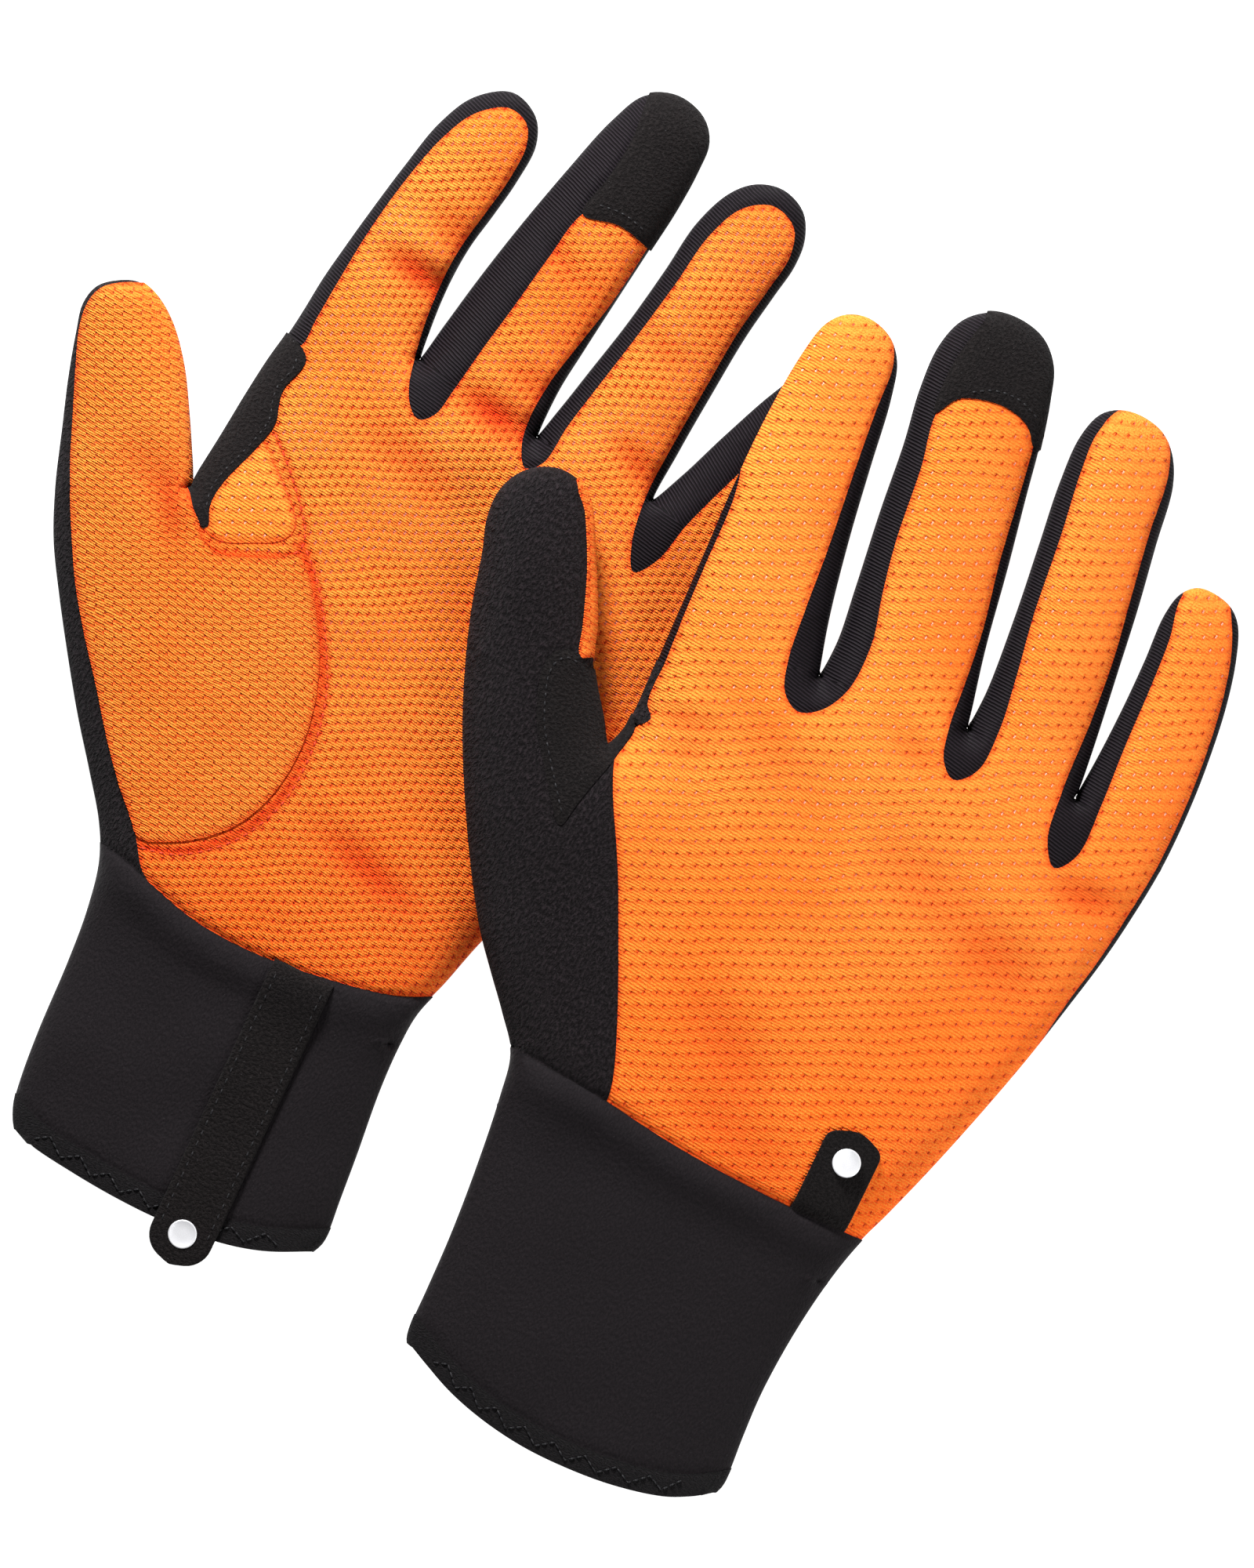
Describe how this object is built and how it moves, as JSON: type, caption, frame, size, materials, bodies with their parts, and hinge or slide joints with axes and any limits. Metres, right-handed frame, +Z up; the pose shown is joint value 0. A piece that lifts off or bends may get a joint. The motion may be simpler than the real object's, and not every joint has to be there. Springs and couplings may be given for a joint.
{
  "type": "sports gloves",
  "caption": "Pair of thin stretch gloves, one palm up and one palm down: knit panels, ribbed finger sidewalls, fleece thumb backs, long cuffs with pull straps.",
  "frame": {"origin": "on the table, at the centre of the pair's plan outline", "axes": "+Z up from the table, +Y from the cuffs to the fingertips, +X from the left glove to the right"},
  "size_m": [0.2403, 0.2567, 0.0315],
  "materials": {
    "orange_knit": "matte perforated mesh knit",
    "stretch_rib": "matte fine rib",
    "fleece": "matte brushed pile",
    "suede": "matte synthetic suede",
    "cuff_jersey": "satin smooth jersey",
    "hem_binding": "matte twill tape",
    "badge": "satin reflective film"
  },
  "bodies": {
    "left_hand": {"left_back_panel": "orange_knit", "left_palm_panel": "orange_knit", "left_gusset": "fleece", "left_web_patch": "suede", "left_side_strip": "stretch_rib", "left_finger_crotches": "stretch_rib", "left_thenar_panel": "orange_knit", "left_web_tongue": "orange_knit", "left_cuff": "cuff_jersey", "left_hem_binding": "hem_binding", "left_back_tab": "suede", "left_tab_badge": "badge"},
    "left_thumb": {"left_thumb_palm": "orange_knit", "left_thumb_back": "fleece"},
    "left_index": {"left_index_back": "orange_knit", "left_index_palm": "orange_knit", "left_index_sidewall": "stretch_rib"},
    "left_middle": {"left_middle_back": "orange_knit", "left_middle_palm": "orange_knit", "left_middle_sidewall": "stretch_rib", "left_middle_cap": "suede"},
    "left_ring": {"left_ring_back": "orange_knit", "left_ring_palm": "orange_knit", "left_ring_sidewall": "stretch_rib"},
    "left_pinky": {"left_pinky_back": "orange_knit", "left_pinky_palm": "orange_knit", "left_pinky_sidewall": "stretch_rib"},
    "left_strap": {"left_pull_strap": "suede", "left_strap_badge": "badge"},
    "right_hand": {"right_back_panel": "orange_knit", "right_palm_panel": "orange_knit", "right_gusset": "fleece", "right_web_patch": "suede", "right_side_strip": "stretch_rib", "right_finger_crotches": "stretch_rib", "right_thenar_panel": "orange_knit", "right_web_tongue": "orange_knit", "right_cuff": "cuff_jersey", "right_hem_binding": "hem_binding"},
    "right_thumb": {"right_thumb_palm": "orange_knit", "right_thumb_back": "fleece"},
    "right_index": {"right_index_back": "orange_knit", "right_index_palm": "orange_knit", "right_index_sidewall": "stretch_rib"},
    "right_middle": {"right_middle_back": "orange_knit", "right_middle_palm": "orange_knit", "right_middle_sidewall": "stretch_rib", "right_middle_cap": "suede"},
    "right_ring": {"right_ring_back": "orange_knit", "right_ring_palm": "orange_knit", "right_ring_sidewall": "stretch_rib"},
    "right_pinky": {"right_pinky_back": "orange_knit", "right_pinky_palm": "orange_knit", "right_pinky_sidewall": "stretch_rib"},
    "right_strap": {"right_pull_strap": "suede", "right_strap_badge": "badge"},
    "right_tab": {"right_back_tab": "suede", "right_tab_badge": "badge"}
  },
  "joints": [
    {"name": "right_glove_lift", "type": "slide", "parent": "left_hand", "child": "right_hand", "axis": [0, 0, 1], "range_m": [0, 0.15]},
    {"name": "left_thumb_flex", "type": "hinge", "parent": "left_hand", "child": "left_thumb", "pos_m": [-0.0973, 0.0113, 0.015], "axis": [0.9143, 0.4051, 0], "range_deg": [0, 55]},
    {"name": "left_index_flex", "type": "hinge", "parent": "left_hand", "child": "left_index", "pos_m": [-0.0678, 0.0575, 0.013], "axis": [0.9905, -0.1374, 0], "range_deg": [0, 75]},
    {"name": "left_middle_flex", "type": "hinge", "parent": "left_hand", "child": "left_middle", "pos_m": [-0.0424, 0.06, 0.013], "axis": [0.9871, -0.1599, 0], "range_deg": [0, 75]},
    {"name": "left_ring_flex", "type": "hinge", "parent": "left_hand", "child": "left_ring", "pos_m": [-0.0143, 0.058, 0.012], "axis": [0.989, -0.1478, 0], "range_deg": [0, 75]},
    {"name": "left_pinky_flex", "type": "hinge", "parent": "left_hand", "child": "left_pinky", "pos_m": [0.0075, 0.05, 0.009], "axis": [0.9272, -0.3746, 0], "range_deg": [0, 47.28]},
    {"name": "right_thumb_flex", "type": "hinge", "parent": "right_hand", "child": "right_thumb", "pos_m": [-0.01312, 0.0155, 0.01514], "axis": [-0.9722, -0.2079, 0.1073], "range_deg": [0, 51.58]},
    {"name": "right_index_flex", "type": "hinge", "parent": "right_hand", "child": "right_index", "pos_m": [0.02723, 0.038, 0.01068], "axis": [-0.9903, -0.0854, 0.1093], "range_deg": [0, 68.76]},
    {"name": "right_middle_flex", "type": "hinge", "parent": "right_hand", "child": "right_middle", "pos_m": [0.05844, 0.0405, 0.00724], "axis": [-0.9863, -0.1236, 0.1089], "range_deg": [0, 68.76]},
    {"name": "right_ring_flex", "type": "hinge", "parent": "right_hand", "child": "right_ring", "pos_m": [0.08717, 0.0385, 0.00407], "axis": [-0.9861, -0.1253, 0.1089], "range_deg": [0, 68.76]},
    {"name": "right_pinky_flex", "type": "hinge", "parent": "right_hand", "child": "right_pinky", "pos_m": [0.11023, 0.033, 0.00152], "axis": [-0.9909, -0.0785, 0.1094], "range_deg": [0, 68.76]},
    {"name": "left_strap_lift", "type": "hinge", "parent": "left_hand", "child": "left_strap", "pos_m": [-0.025, -0.063, 0.0163], "axis": [-1, 0, 0], "range_deg": [0, 120]},
    {"name": "right_strap_lift", "type": "hinge", "parent": "right_hand", "child": "right_strap", "pos_m": [0.06947, -0.0645, 0.00501], "axis": [0.994, 0, -0.1097], "range_deg": [0, 68.76]},
    {"name": "right_tab_lift", "type": "hinge", "parent": "right_hand", "child": "right_tab", "pos_m": [0.08978, -0.0612, 0.0195], "axis": [0.994, 0, -0.1097], "range_deg": [0, 150]}
  ],
  "couplings": [
    {"joint": "left_pinky_flex", "follows": "right_glove_lift", "rad_per_m": 5.5},
    {"joint": "right_thumb_flex", "follows": "right_glove_lift", "rad_per_m": 6},
    {"joint": "right_index_flex", "follows": "right_glove_lift", "rad_per_m": 8},
    {"joint": "right_middle_flex", "follows": "right_glove_lift", "rad_per_m": 8},
    {"joint": "right_ring_flex", "follows": "right_glove_lift", "rad_per_m": 8},
    {"joint": "right_pinky_flex", "follows": "right_glove_lift", "rad_per_m": 8},
    {"joint": "right_strap_lift", "follows": "right_glove_lift", "rad_per_m": 8}
  ]
}
